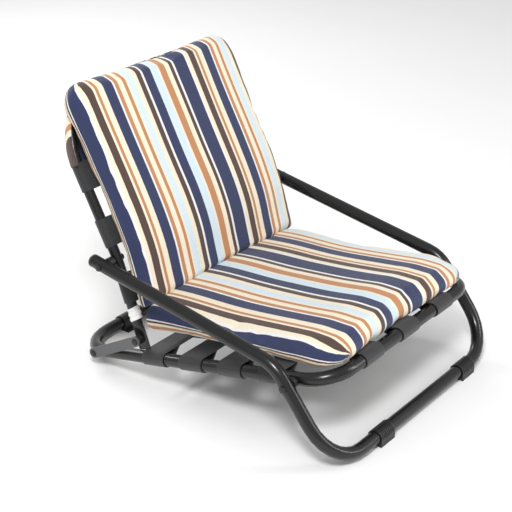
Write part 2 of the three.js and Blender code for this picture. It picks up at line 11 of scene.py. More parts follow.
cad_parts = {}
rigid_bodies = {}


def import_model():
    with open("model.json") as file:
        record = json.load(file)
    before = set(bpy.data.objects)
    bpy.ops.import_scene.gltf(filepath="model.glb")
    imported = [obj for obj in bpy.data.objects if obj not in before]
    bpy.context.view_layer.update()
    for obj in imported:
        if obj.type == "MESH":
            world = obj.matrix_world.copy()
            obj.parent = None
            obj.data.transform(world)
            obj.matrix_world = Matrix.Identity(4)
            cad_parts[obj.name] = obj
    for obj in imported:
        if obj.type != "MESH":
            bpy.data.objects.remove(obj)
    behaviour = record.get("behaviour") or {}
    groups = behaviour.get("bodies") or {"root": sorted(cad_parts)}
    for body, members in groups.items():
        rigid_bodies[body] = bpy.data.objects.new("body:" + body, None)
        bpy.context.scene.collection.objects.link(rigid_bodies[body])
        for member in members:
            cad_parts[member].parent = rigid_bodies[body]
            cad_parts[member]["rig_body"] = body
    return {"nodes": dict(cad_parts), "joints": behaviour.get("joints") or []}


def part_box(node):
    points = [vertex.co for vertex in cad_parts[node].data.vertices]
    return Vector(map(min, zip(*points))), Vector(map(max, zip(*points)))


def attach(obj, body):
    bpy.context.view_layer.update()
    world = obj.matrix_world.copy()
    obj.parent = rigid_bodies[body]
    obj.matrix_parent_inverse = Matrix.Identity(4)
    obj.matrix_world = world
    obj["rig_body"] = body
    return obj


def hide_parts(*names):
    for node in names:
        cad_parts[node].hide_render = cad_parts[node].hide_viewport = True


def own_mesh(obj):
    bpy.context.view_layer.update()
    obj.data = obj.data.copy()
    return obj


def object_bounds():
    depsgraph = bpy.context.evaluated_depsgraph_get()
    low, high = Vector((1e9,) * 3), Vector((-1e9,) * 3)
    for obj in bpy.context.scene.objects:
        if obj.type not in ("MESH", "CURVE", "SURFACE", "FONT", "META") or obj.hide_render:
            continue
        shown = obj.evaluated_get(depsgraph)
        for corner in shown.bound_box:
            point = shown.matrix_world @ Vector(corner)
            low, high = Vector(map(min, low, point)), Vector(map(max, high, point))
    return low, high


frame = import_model()
cad_low, cad_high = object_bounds()

# ---- Sizes in metres --------------------------------------------------------------------------

TUBE_RADIUS = 0.011            # arm loop and seat ring
BACK_TUBE_RADIUS = 0.009
BAND_TOP_ON_SEAT = 0.0129      # top of the bands above the middle of the seat tubes
BAND_FRONT_ON_BACK = 0.0109
CUSHION_HALF_WIDTH = 0.2       # where the crown ends and the creases start
SEAT_HALF_WIDTH = 0.202
BACK_HALF_WIDTH = 0.208
CUSHION_CORNER = 0.046
SIDE_PULL = 0.003              # how far the cushion's sides pull in between the corners
MIDDLE_SHARE = 0.45            # height of a side wall's outermost line, as a share of the thickness
EDGE_ROUND = 0.013
FOLD_EDGE_ROUND = 0.01
SIDE_CLOTH = 1.9               # cloth round a side wall, against the rough shape's half turn
SIDE_FLATTEN = 1.1             # a side wall's height against its depth, where the cloth turns
END_WRAP = 0.03                # how far the stripes run on under the front and top edges
VOXEL = 0.0055
RELAX_STEPS = 4
SIM_FRAMES = 20
SIM_CAP = 0.009
SIM_SIDEWAYS = 0.2             # share of the simulated sideways movement that is kept
PRESSURE = 4.0
POCKET_WALL = 0.0016
CLOTH_GAP = 0.0006

# ---- Places, all from the frame -----------------------------------------------------------------

SIDES = ("right", "left")
joints = {joint["name"]: joint for joint in frame["joints"]}


def side_point(node):
    """Middle of a node's box in the side view: y and z."""
    low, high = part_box(node)
    return np.array([(low.y + high.y) / 2, (low.z + high.z) / 2])


def unit(vector):
    return vector / np.linalg.norm(vector)


def left_of(vector):
    """A quarter turn in the side view."""
    return np.array([-vector[1], vector[0]])


ring_low, ring_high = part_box("seat_ring")
back_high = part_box("back_frame")[1]
seat_along = unit(np.array(joints["cushion_slide"]["axis"][1:]))
seat_up = left_of(seat_along)
front_bar = np.array([ring_low.y + TUBE_RADIUS, ring_high.z - TUBE_RADIUS])
arm_pivot = side_point("arm_rivet_right")
back_link = np.array(joints["back_fold"]["pos_m"][1:])
top_bar = np.array([back_high.y - BACK_TUBE_RADIUS, back_high.z - BACK_TUBE_RADIUS])
back_lower = unit(arm_pivot - back_link)
back_upper = unit(top_bar - arm_pivot)
top_bar_height = float(np.linalg.norm(top_bar - arm_pivot))
back_tube_x = back_high.x - BACK_TUBE_RADIUS

BEND_HALF = 0.03               # half the length of the gentle bend in the back tubes
LINE_STEP = 0.001


def smooth_step(value, low, high):
    share = np.clip((value - low) / (high - low), 0, 1)
    return share * share * (3 - 2 * share)


def bent_line():
    """Heights above the arm pivot, with the back tubes' direction and place at each."""
    heights = np.arange(-0.25, 0.4, LINE_STEP)
    lower_angle = math.atan2(back_lower[1], back_lower[0])
    upper_angle = math.atan2(back_upper[1], back_upper[0])
    angles = lower_angle + (upper_angle - lower_angle) * smooth_step(heights, -BEND_HALF, BEND_HALF)
    steps = np.stack([np.cos(angles), np.sin(angles)], 1) * LINE_STEP
    line = np.cumsum(steps, 0)
    pivot_row = int(np.argmin(np.abs(heights)))
    return heights, angles, line - line[pivot_row] + arm_pivot


line_heights, line_angles, line_points = bent_line()


def on_seat(points):
    """(across, behind the front bar, above the seat tubes' line) to the row frame."""
    side = front_bar + points[:, 1:2] * seat_along + points[:, 2:3] * seat_up
    return np.column_stack([points[:, 0], side])


def on_back(points):
    """(across, up the tube from the arm pivot, in front of the tubes' line) to the row frame."""
    height = points[:, 1]
    angle = np.interp(height, line_heights, line_angles)
    base = np.column_stack([np.interp(height, line_heights, line_points[:, k]) for k in (0, 1)])
    front = np.column_stack([-np.sin(angle), np.cos(angle)])
    return np.column_stack([points[:, 0], base + points[:, 2:3] * front])


# ---- Materials ----------------------------------------------------------------------------------


class Shader:
    """A material with a Principled shader, and short ways to add nodes to it."""

    def __init__(self, name, colour, roughness, **sockets):
        self.material = bpy.data.materials.new(name)
        self.material.use_nodes = True
        self.tree = self.material.node_tree
        self.surface = self.tree.nodes["Principled BSDF"]
        self.surface.inputs["Base Color"].default_value = (*colour, 1)
        self.surface.inputs["Roughness"].default_value = roughness
        for socket, value in sockets.items():
            self.surface.inputs[socket.replace("_", " ")].default_value = value
        self.place = self.tree.nodes.new("ShaderNodeTexCoord").outputs["Object"]

    def node(self, kind, inputs=None, **settings):
        made = self.tree.nodes.new(kind)
        for key, value in settings.items():
            setattr(made, key, value)
        for key, value in (inputs or {}).items():
            if isinstance(value, bpy.types.NodeSocket):
                self.tree.links.new(value, made.inputs[key])
            else:
                made.inputs[key].default_value = value
        return made

    def noise(self, scale, detail=3.0, vector=None):
        inputs = {"Vector": vector or self.place, "Scale": scale, "Detail": detail}
        return self.node("ShaderNodeTexNoise", inputs).outputs["Fac"]

    def wave(self, period, direction, vector=None):
        """Bands of the given period in metres."""
        inputs = {"Vector": vector or self.place, "Scale": 2 * math.pi / (20 * period)}
        return self.node("ShaderNodeTexWave", inputs, bands_direction=direction).outputs["Fac"]

    def maths(self, operation, *values):
        return self.node("ShaderNodeMath", dict(enumerate(values)), operation=operation).outputs[0]

    def ramp(self, factor, low, high):
        inputs = {"Value": factor, "To Min": low, "To Max": high}
        return self.node("ShaderNodeMapRange", inputs).outputs["Result"]

    def mix(self, factor, first, second, blend="MIX"):
        made = self.node("ShaderNodeMix", data_type="RGBA", blend_type=blend)
        for socket, value in ((0, factor), (6, first), (7, second)):
            if isinstance(value, bpy.types.NodeSocket):
                self.tree.links.new(value, made.inputs[socket])
            elif socket == 0:
                made.inputs[socket].default_value = value
            else:
                made.inputs[socket].default_value = (*value, 1)
        return made.outputs[2]

    def bump(self, height, depth, strength=1.0):
        inputs = {"Height": height, "Distance": depth, "Strength": strength}
        made = self.node("ShaderNodeBump", inputs)
        self.tree.links.new(made.outputs["Normal"], self.surface.inputs["Normal"])

    def feed(self, socket, value):
        self.tree.links.new(value, self.surface.inputs[socket])


def powder_coat(name, dark, light, roughness):
    """Sprayed paint on steel: orange-peel skin, cloudy gloss, a little dust."""
    paint = Shader(name, dark, roughness, Specular_IOR_Level=0.5)
    clouds = paint.noise(14.0)
    specks = paint.noise(700.0, 2.0)
    paint.feed("Base Color", paint.mix(clouds, dark, light))
    paint.feed("Roughness", paint.ramp(clouds, roughness - 0.05, roughness + 0.07))
    paint.bump(specks, 0.00012, 0.5)
    return paint.material


def moulded_plastic(name, dark, light, roughness):
    plastic = Shader(name, dark, roughness)
    grain = plastic.noise(1400.0, 2.0)
    plastic.feed("Base Color", plastic.mix(plastic.noise(40.0), dark, light))
    plastic.feed("Roughness", plastic.ramp(grain, roughness - 0.06, roughness + 0.06))
    plastic.bump(grain, 0.00015, 0.6)
    return plastic.material


RIB_PERIOD = 0.0021
CORD_PERIOD = 0.0032


def elastic_webbing(name, direction, across):
    """Woven elastic: fine cross ribs, lengthwise cords, and a painted highlight as paler colour on the
    rib tops.
    """
    web = Shader(name, (0.03, 0.031, 0.034), 0.75, Sheen_Weight=0.25)
    ribs = web.wave(RIB_PERIOD, direction)
    cords = web.wave(CORD_PERIOD, across)
    threads = web.maths("ADD", web.maths("MULTIPLY", ribs, 0.7), web.maths("MULTIPLY", cords, 0.3))
    fibres = web.noise(900.0, 2.0)
    ribs_and_highlight = web.maths("MULTIPLY", threads, web.ramp(fibres, 0.6, 1.0))
    # painted highlight: the raised ribs get a paler colour that stands in for the light they catch; the
    # same pattern drives the rib bump
    web.feed("Base Color", web.mix(ribs_and_highlight, (0.008, 0.0082, 0.009), (0.032, 0.033, 0.036)))
    web.bump(ribs_and_highlight, 0.0003, 0.6)
    return web.material


NAVY = (0.032, 0.043, 0.112)
BROWN = (0.095, 0.055, 0.046)
TAN = (0.56, 0.262, 0.118)
CREAM = (0.93, 0.83, 0.65)
WHITE = (0.9, 0.88, 0.86)
PALE_BLUE = (0.70, 0.82, 0.9)
STRIPES = (                     # widths in millimetres, in order across the cloth
    (29.7, NAVY), (3, WHITE), (8, CREAM), (14.5, BROWN), (4.5, CREAM), (6.3, TAN), (11.5, CREAM),
    (19.5, NAVY), (4, WHITE), (8.3, TAN), (10.5, CREAM), (6, TAN), (4.5, CREAM), (13.5, PALE_BLUE),
    (9, CREAM), (11, BROWN), (4.5, WHITE), (19.2, NAVY), (16.3, PALE_BLUE), (4, CREAM), (14.5, TAN),
    (10, CREAM), (8.5, BROWN), (4.8, WHITE),
)
STRIPE_START = -0.2173          # where a wide navy stripe begins
STRIPE_FRAY = 0.0012            # how far the threads wander at a stripe's edge
REPEAT = sum(width for width, colour in STRIPES) / 1000
WARP_PERIOD = 0.0011
WEFT_PERIOD = 0.0009


def striped_cloth(name):
    """Cotton blend woven in stripes; the mesh carries each point's place across and along the cloth."""
    cloth = Shader(name, NAVY, 0.85, Sheen_Weight=0.2, Sheen_Roughness=0.5, Specular_IOR_Level=0.25)
    across = cloth.node("ShaderNodeAttribute", attribute_name="across").outputs["Fac"]
    along = cloth.node("ShaderNodeAttribute", attribute_name="along").outputs["Fac"]
    flat = cloth.node("ShaderNodeCombineXYZ", {0: across, 1: along}).outputs[0]
    stretched = cloth.node("ShaderNodeCombineXYZ", {
        0: cloth.maths("MULTIPLY", across, 5.0),
        1: along,
    }).outputs[0]
    slubs = cloth.noise(160.0, 3.0, stretched)
    wander = cloth.maths("SUBTRACT", cloth.noise(1300.0, 2.0, flat), 0.5)
    fray = cloth.maths("MULTIPLY", wander, STRIPE_FRAY)
    shifted = cloth.maths("SUBTRACT", cloth.maths("ADD", across, fray), STRIPE_START)
    place = cloth.maths("FRACT", cloth.maths("DIVIDE", shifted, REPEAT))
    ramp = cloth.node("ShaderNodeValToRGB", {"Fac": place})
    ramp.color_ramp.interpolation = "CONSTANT"
    stops = ramp.color_ramp.elements
    start = 0.0
    for index, (width, colour) in enumerate(STRIPES):
        stop = stops[index] if index < 1 else stops.new(start)
        stop.position = start
        stop.color = (*colour, 1)
        start += width / 1000 / REPEAT
    stops.remove(stops[len(stops) - 1])
    warp = cloth.wave(WARP_PERIOD, "X", flat)
    weft = cloth.wave(WEFT_PERIOD, "Y", flat)
    weave = cloth.maths("MULTIPLY", warp, weft)
    shade = cloth.maths("ADD", cloth.ramp(weave, 0.86, 1.04), cloth.ramp(slubs, -0.08, 0.1))
    tone = cloth.node("ShaderNodeCombineXYZ", {0: shade, 1: shade, 2: shade}).outputs[0]
    cloth.feed("Base Color", cloth.mix(1.0, ramp.outputs["Color"], tone, "MULTIPLY"))
    cloth.bump(cloth.maths("ADD", weave, slubs), 0.00035, 0.7)
    return cloth.material


def plain_cloth(name, colour):
    cloth = Shader(name, colour, 0.85, Sheen_Weight=0.2)
    weave = cloth.maths("MULTIPLY", cloth.wave(0.0012, "DIAGONAL"), cloth.noise(500.0))
    cloth.feed("Base Color", cloth.mix(weave, tuple(c * 0.86 for c in colour), colour))
    cloth.bump(weave, 0.0003, 0.8)
    return cloth.material


black_paint = powder_coat("black_powder_coat", (0.005, 0.0052, 0.0057), (0.009, 0.0093, 0.0098), 0.24)
link_paint = powder_coat("grey_link_steel", (0.085, 0.087, 0.09), (0.11, 0.112, 0.115), 0.42)
rivet_paint = powder_coat("rivet_black", (0.006, 0.006, 0.0065), (0.011, 0.011, 0.0115), 0.25)
black_plastic = moulded_plastic("black_plastic", (0.008, 0.008, 0.0085), (0.014, 0.014, 0.015), 0.45)
cross_webbing = elastic_webbing("cross_webbing", "X", "Y")
long_webbing = elastic_webbing("long_webbing", "Y", "X")
cushion_cloth = striped_cloth("striped_cloth")
tie_cloth = plain_cloth("white_tape", (0.86, 0.85, 0.83))

# ---- Carried-over solids ------------------------------------------------------------------------

SHARP_ANGLE = math.radians(36)
WELD_DISTANCE = 1e-5


def smooth_group():
    """Geometry nodes that shade a faceted solid round, and keep its real edges sharp."""
    group = bpy.data.node_groups.new("shade_round", "GeometryNodeTree")
    group.interface.new_socket("Geometry", in_out="INPUT", socket_type="NodeSocketGeometry")
    group.interface.new_socket("Geometry", in_out="OUTPUT", socket_type="NodeSocketGeometry")
    source = group.nodes.new("NodeGroupInput")
    result = group.nodes.new("NodeGroupOutput")
    faces = group.nodes.new("GeometryNodeSetShadeSmooth")
    edges = group.nodes.new("GeometryNodeSetShadeSmooth")
    edges.domain = "EDGE"
    angle = group.nodes.new("GeometryNodeInputMeshEdgeAngle")
    gentle = group.nodes.new("FunctionNodeCompare")
    gentle.operation = "LESS_THAN"
    gentle.inputs["B"].default_value = SHARP_ANGLE
    group.links.new(source.outputs[0], faces.inputs["Geometry"])
    group.links.new(faces.outputs[0], edges.inputs["Geometry"])
    group.links.new(angle.outputs["Unsigned Angle"], gentle.inputs["A"])
    group.links.new(gentle.outputs[0], edges.inputs["Shade Smooth"])
    group.links.new(edges.outputs[0], result.inputs[0])
    return group


shade_round = smooth_group()


def finish_node(node, material):
    """A solid from the model as it is, with its material and rounded shading."""
    piece = frame["nodes"][node]
    piece.data.materials.clear()
    piece.data.materials.append(material)
    weld = piece.modifiers.new("join_points", "WELD")
    weld.merge_threshold = WELD_DISTANCE
    modifier = piece.modifiers.new("shade_round", "NODES")
    modifier.node_group = shade_round


NODE_FINISHES = (
    ("arm_leg_loop", black_paint), ("seat_ring", black_paint), ("back_frame", black_paint),
    ("seat_cross_rod", black_paint), ("link_plate", link_paint), ("front_foot", black_plastic),
    ("rear_foot", black_plastic), ("seat_cross_band", cross_webbing),
    ("back_cross_band", cross_webbing), ("seat_long_band", long_webbing),
)
for node_name in frame["nodes"]:
    for start, finish in NODE_FINISHES:
        if node_name.startswith(start):
            finish_node(node_name, finish)

# ---- Mesh helpers -------------------------------------------------------------------------------


def new_piece(name, vertices, faces, material, smooth=True):
    mesh = bpy.data.meshes.new(name)
    mesh.from_pydata([tuple(v) for v in vertices], [], faces)
    mesh.materials.append(material)
    mesh.polygons.foreach_set("use_smooth", [smooth] * len(mesh.polygons))
    piece = bpy.data.objects.new(name, mesh)
    bpy.context.scene.collection.objects.link(piece)
    return piece


def points_of(piece):
    flat = np.zeros(len(piece.data.vertices) * 3)
    piece.data.vertices.foreach_get("co", flat)
    return flat.reshape(-1, 3)


def set_points(piece, points):
    piece.data.vertices.foreach_set("co", points.ravel())
    piece.data.update()


def apply_modifiers(piece):
    evaluated = piece.evaluated_get(bpy.context.evaluated_depsgraph_get())
    mesh = bpy.data.meshes.new_from_object(evaluated)
    piece.modifiers.clear()
    piece.data = mesh


def set_attribute(piece, name, values):
    attribute = piece.data.attributes.new(name, "FLOAT", "POINT")
    attribute.data.foreach_set("value", values.astype(np.float32))


def ring_faces(rings, sides):
    """Faces between rings of points, each with the same number of points."""
    faces = []
    for i in range(rings):
        for k in range(sides):
            j = (k + 1) % sides
            faces.append((i * sides + k, i * sides + j, (i + 1) * sides + j, (i + 1) * sides + k))
    return faces


def give_wall(piece, thickness):
    """Turns a surface into a sheet with its wall on the outside."""
    wall = piece.modifiers.new("wall", "SOLIDIFY")
    wall.thickness = thickness
    wall.offset = 1
    apply_modifiers(piece)


def lathe(name, profile, centre, axis, material, sides=40):
    """A turned piece: profile is (distance along the axis, radius) from one end to the other."""
    axis = Vector(axis).normalized()
    turn = axis.to_track_quat("Z", "Y").to_matrix()
    rings = []
    for along, radius in profile:
        for k in range(sides):
            angle = 2 * math.pi * k / sides
            local = Vector((radius * math.cos(angle), radius * math.sin(angle), along))
            rings.append(turn @ local + Vector(centre))
    faces = ring_faces(len(profile) - 1, sides)
    if profile[0] != profile[-1]:
        faces.append(tuple(range(sides - 1, -1, -1)))
        faces.append(tuple(range((len(profile) - 1) * sides, len(profile) * sides)))
    else:
        last = (len(profile) - 1) * sides
        faces = [tuple(i % last for i in face) for face in faces]
        rings = rings[:last]
    piece = new_piece(name, rings, faces, material)
    edges = piece.modifiers.new("shade_round", "NODES")
    edges.node_group = shade_round
    return piece


def body_holding(node):
    return frame["nodes"][node]["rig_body"]


# ---- Rivets, spacers, washers and plugs ---------------------------------------------------------


def arc(from_along, from_radius, to_along, to_radius, steps):
    """Quarter of an ellipse between two profile points, bulging outwards."""
    points = []
    for i in range(steps + 1):
        angle = math.pi / 2 * i / steps
        radius = to_radius + (from_radius - to_radius) * math.cos(angle)
        points.append((from_along + (to_along - from_along) * math.sin(angle), radius))
    return points


SHANK_RADIUS = 0.003
HEAD_HEIGHT = 0.0024
HEAD_RIM = 0.0007
RING_WIDTH = 0.0011
RING_DEPTH = 0.0004
CROWN_SHARE = 0.45             # of the head's radius
INNER_HEAD_SHARE = 0.8         # of the head's radius
END_CHAMFER = 0.0004
ARC_STEPS = 8


def rivet(node):
    """Domed head with a pressed ring, on its shank."""
    low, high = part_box(node)
    outward = 1 if (low.x + high.x) > 0 else -1
    outer = high.x if outward > 0 else -low.x
    inner = low.x if outward > 0 else -high.x
    radius = (high.z - low.z) / 2
    crown = radius * CROWN_SHARE
    seat = outer - HEAD_HEIGHT
    ring = outer - RING_DEPTH
    has_inner_head = node.startswith(("leg_rivet", "back_link_rivet"))
    inner_radius = radius * INNER_HEAD_SHARE if has_inner_head else SHANK_RADIUS
    profile = [(inner, inner_radius * 0.6), (inner + END_CHAMFER, inner_radius)]
    if has_inner_head:
        profile += [(inner + HEAD_HEIGHT, inner_radius), (inner + HEAD_HEIGHT, SHANK_RADIUS)]
    profile += [(seat, SHANK_RADIUS), (seat, radius), (seat + HEAD_RIM, radius)]
    profile += arc(seat + HEAD_RIM, radius, ring, crown + RING_WIDTH, ARC_STEPS)[1:]
    profile += [(outer - RING_DEPTH * 1.6, crown + RING_WIDTH * 0.5), (ring, crown)]
    profile += [(outer, crown * 0.6), (outer, crown * 0.1)]
    middle = Vector((0, (low.y + high.y) / 2, (low.z + high.z) / 2))
    piece = lathe(node + "_round", profile, middle, (outward, 0, 0), rivet_paint)
    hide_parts(node)
    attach(piece, body_holding(node))


COLLAR_HOLE_RADIUS = 0.0036
COLLAR_RIM = 0.0006


def collar(node):
    """Turned plastic spacer with softened rims."""
    low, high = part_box(node)
    radius = (high.z - low.z) / 2
    ends = (low.x, high.x)
    rim = min(COLLAR_RIM, (ends[1] - ends[0]) / 4)
    profile = [
        (ends[0], COLLAR_HOLE_RADIUS), (ends[0], radius - rim), (ends[0] + rim, radius),
        (ends[1] - rim, radius), (ends[1], radius - rim), (ends[1], COLLAR_HOLE_RADIUS),
        (ends[0], COLLAR_HOLE_RADIUS),
    ]
    middle = Vector((0, (low.y + high.y) / 2, (low.z + high.z) / 2))
    piece = lathe(node + "_round", profile, middle, (1, 0, 0), black_plastic)
    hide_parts(node)
    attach(piece, body_holding(node))


PLUG_LENGTH = 0.007
PLUG_CHAMFER = 0.0004
PLUG_RIM = 0.0016
PLUG_FACE_SHARE = 0.45         # of the plug's radius
arm_direction = unit(side_point("arm_end_plug_left") - arm_pivot)


def arm_plug(node):
    """Pressed-in end plug with a rounded face."""
    low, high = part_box(node)
    middle = side_point(node) - arm_direction * PLUG_LENGTH / 2
    profile = [(0, TUBE_RADIUS - PLUG_CHAMFER), (PLUG_CHAMFER, TUBE_RADIUS), (PLUG_RIM, TUBE_RADIUS)]
    profile += arc(PLUG_RIM, TUBE_RADIUS, PLUG_LENGTH, TUBE_RADIUS * PLUG_FACE_SHARE, ARC_STEPS)[1:]
    profile += [(PLUG_LENGTH, TUBE_RADIUS * 0.05)]
    centre = Vector(((low.x + high.x) / 2, *middle))
    piece = lathe(node + "_round", profile, centre, (0, *arm_direction), black_plastic)
    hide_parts(node)
    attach(piece, body_holding(node))


for node_name in sorted(frame["nodes"]):
    if "rivet" in node_name:
        rivet(node_name)
    elif "spacer" in node_name or "washer" in node_name:
        collar(node_name)
    elif "plug" in node_name:
        arm_plug(node_name)
for side_name in SIDES:
    finish_node(f"back_inner_head_{side_name}", rivet_paint)

# ---- Camera, light and floor --------------------------------------------------------------------

CAMERA_AZIMUTH = -52.12
CAMERA_ELEVATION = 26.02
CAMERA_DISTANCE = 2.16
CAMERA_LENS = 92.35
AIM_OFFSET = Vector((-0.0595, -0.0103, -0.0261))
WORLD_STRENGTH = 0.6
FLOOR_HALF = 6.0


def add_camera():
    data = bpy.data.cameras.new("camera")
    data.lens = CAMERA_LENS
    camera = bpy.data.objects.new("camera", data)
    bpy.context.scene.collection.objects.link(camera)
    a, e = math.radians(CAMERA_AZIMUTH), math.radians(CAMERA_ELEVATION)
    back = Vector((math.sin(a) * math.cos(e), -math.cos(a) * math.cos(e), math.sin(e)))
    camera.location = (cad_low + cad_high) / 2 + AIM_OFFSET + back * CAMERA_DISTANCE
    camera.rotation_mode = "QUATERNION"
    camera.rotation_quaternion = (-back).to_track_quat("-Z", "Y")
    bpy.context.scene.camera = camera


def add_light(name, place, size, power):
    data = bpy.data.lights.new(name, "AREA")
    data.shape = "RECTANGLE"
    data.size, data.size_y = size
    data.energy = power
    light = bpy.data.objects.new(name, data)
    light.location = place
    aim = (cad_low + cad_high) / 2 - Vector(place)
    light.rotation_mode = "QUATERNION"
    light.rotation_quaternion = aim.to_track_quat("-Z", "Y")
    bpy.context.scene.collection.objects.link(light)


def add_studio():
    world = bpy.data.worlds.new("studio")
    world.use_nodes = True
    background = world.node_tree.nodes["Background"]
    background.inputs["Color"].default_value = (1, 1, 1, 1)
    background.inputs["Strength"].default_value = WORLD_STRENGTH
    bpy.context.scene.world = world
    bpy.context.scene.view_settings.view_transform = "Standard"
    add_light("key", (-1.4, -0.9, 2.0), (0.5, 0.5), 38)
    add_light("back_strip", (0.3, 2.2, 1.5), (2.2, 0.25), 28)
    add_light("front_strip", (1.2, -2.0, 1.2), (0.25, 1.6), 16)


def add_floor():
    half = FLOOR_HALF
    corners = [(-half, -half, 0), (half, -half, 0), (half, half, 0), (-half, half, 0)]
    paper = Shader("pale_paper", (0.9, 0.9, 0.9), 0.9)
    paper.feed("Base Color", paper.mix(paper.noise(3.0), (0.89, 0.89, 0.89), (0.91, 0.91, 0.91)))
    floor = new_piece("floor", corners, [(0, 1, 2, 3)], paper.material)


add_camera()
add_studio()
add_floor()

# ---- Cushion ------------------------------------------------------------------------------------


CLOTH_SETTINGS = {
    "quality": 6,
    "mass": 0.25,
    "tension_stiffness": 14,
    "compression_stiffness": 14,
    "shear_stiffness": 5,
    "bending_stiffness": 0.4,
    "use_pressure": True,
    "uniform_pressure_force": PRESSURE,
    "shrink_min": -0.012,      # the cloth is cut a little larger than the rough shape
}


def simulate(piece):
    """Inflates a closed mesh, and leaves the inflated shape in place of the modifier."""
    cloth = piece.modifiers.new("cloth", "CLOTH")
    for setting, value in CLOTH_SETTINGS.items():
        setattr(cloth.settings, setting, value)
    cloth.settings.effector_weights.gravity = 0
    cloth.collision_settings.use_collision = False
    cloth.point_cache.frame_start = 1
    cloth.point_cache.frame_end = SIM_FRAMES
    scene = bpy.context.scene
    for step in range(1, SIM_FRAMES + 1):
        scene.frame_set(step)
    apply_modifiers(piece)
    scene.frame_set(1)


class Pad:
    """One half of the cushion in flat coordinates: across, along, and height above the tubes' line."""

    def __init__(self, name, half_width, start, end, corner_at_start, bottom, top):
        self.name = name
        self.half_width = half_width
        self.start = start
        self.end = end
        self.corner_at_start = corner_at_start
        self.bottom = bottom
        self.top = top

    def inset(self, along):
        """How much narrower the outline is at this place: rounded corners and pulled-in sides."""
        if self.corner_at_start:
            into = np.clip(self.start + CUSHION_CORNER - along, 0, CUSHION_CORNER)
        else:
            into = np.clip(along - (self.end - CUSHION_CORNER), 0, CUSHION_CORNER)
        corner = CUSHION_CORNER - np.sqrt(CUSHION_CORNER**2 - into**2)
        share = (along - self.start) / (self.end - self.start)
        return corner + SIDE_PULL * np.sin(np.pi * np.clip(share, 0, 1))

    def edge_share(self, across, along):
        """0 at the outline, 1 where the rounded edge ends."""
        sides = (self.half_width - self.inset(along) - np.abs(across)) / EDGE_ROUND
        first = (along - self.start) / (EDGE_ROUND if self.corner_at_start else FOLD_EDGE_ROUND)
        last = (self.end - along) / (FOLD_EDGE_ROUND if self.corner_at_start else EDGE_ROUND)
        nearest = np.clip(np.minimum(sides, np.minimum(first, last)), 0, 1)
        return np.sqrt(1 - (1 - nearest) ** 2)

    def rough_mesh(self, cells=64):
        """Closed slab with round edges and a crowned top."""
        grid = np.sin(np.pi / 2 * np.linspace(-1, 1, cells + 1))
        u, v = np.meshgrid(grid, grid)
        along = (self.start + self.end) / 2 + v * (self.end - self.start) / 2
        across = u * (self.half_width - self.inset(along))
        share = self.edge_share(across, along)
        high = self.top(across, along)
        low = self.bottom(across, along)
        middle = low + (high - low) * MIDDLE_SHARE
        upper = np.stack([across, along, middle + (high - middle) * share], -1).reshape(-1, 3)
        lower = np.stack([across, along, middle - (middle - low) * share], -1).reshape(-1, 3)
        count = cells + 1
        faces = []
        for i in range(cells):
            for j in range(cells):
                a = i * count + j
                quad = (a, a + 1, a + count + 1, a + count)
                faces.append(quad)
                faces.append(tuple(k + count * count for k in reversed(quad)))
        piece = new_piece(self.name, np.vstack([upper, lower]), faces, cushion_cloth)
        mesh = bmesh.new()
        mesh.from_mesh(piece.data)
        bmesh.ops.remove_doubles(mesh, verts=mesh.verts, dist=WELD_DISTANCE)
        mesh.to_mesh(piece.data)
        mesh.free()
        return piece

    def puffed(self, piece):
        """Voxel remesh, then a cloth simulation with air inside, with capped movement."""
        remesh = piece.modifiers.new("even_mesh", "REMESH")
        remesh.mode = "VOXEL"
        remesh.voxel_size = VOXEL
        relax = piece.modifiers.new("relax", "SMOOTH")
        relax.iterations = RELAX_STEPS
        apply_modifiers(piece)
        start = points_of(piece)
        simulate(piece)
        moved = points_of(piece) - start
        moved -= moved.mean(0)
        moved[:, :2] *= SIM_SIDEWAYS
        length = np.linalg.norm(moved, axis=1, keepdims=True)
        moved *= np.minimum(1, SIM_CAP / np.maximum(length, 1e-9))
        points = start + moved
        points[:, 2] = np.maximum(points[:, 2], self.bottom(points[:, 0], points[:, 1]))
        return points

    def cloth_across(self, points):
        """Place across the cloth: it runs round the side walls and on under the cushion."""
        half = self.half_width - self.inset(np.clip(points[:, 1], self.start, self.end))
        low = self.bottom(points[:, 0], points[:, 1])
        high = self.top(points[:, 0], points[:, 1])
        middle = low + (high - low) * MIDDLE_SHARE
        turn_from = half - EDGE_ROUND
        beyond = np.abs(points[:, 0]) - turn_from
        round_angle = np.arctan2(np.maximum(beyond, 0), (points[:, 2] - middle) / SIDE_FLATTEN)
        from_end = np.minimum(points[:, 1] - self.start, self.end - points[:, 1])
        below = (points[:, 2] < middle) & (from_end > END_WRAP)
        under = np.where(below, -np.minimum(beyond, 0), 0)
        length = np.minimum(np.abs(points[:, 0]), turn_from)
        flat_under = np.where(under > 0, turn_from + np.pi * EDGE_ROUND * SIDE_CLOTH + under, length)
        wrapped = np.where(beyond > 0, turn_from + round_angle * EDGE_ROUND * SIDE_CLOTH, flat_under)
        return np.sign(points[:, 0]) * wrapped

    def build(self, place, body, nodes):
        piece = self.rough_mesh()
        points = self.puffed(piece)
        points = wrinkle(self, points)
        set_points(piece, points)
        set_attribute(piece, "across", self.cloth_across(points))
        set_attribute(piece, "along", points[:, 1] + points[:, 2] * 0.5)
        finer = piece.modifiers.new("finer", "SUBSURF")
        finer.levels = finer.render_levels = 1
        apply_modifiers(piece)
        set_points(piece, place(points_of(piece)))
        piece.data.materials.clear()
        piece.data.materials.append(cushion_cloth)
        piece.data.polygons.foreach_set("use_smooth", [True] * len(piece.data.polygons))
        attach(piece, body)
        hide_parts(*nodes)
        return piece


HOLLOW_DEPTH = 0.0016
CREASE_DEPTH = 0.002
CREASE_REACH = 0.05            # how far the creases run in from the sides
SHOWN_FROM, SHOWN_RISE = 0.006, 0.01   # the wrinkles fade in above the flat underside


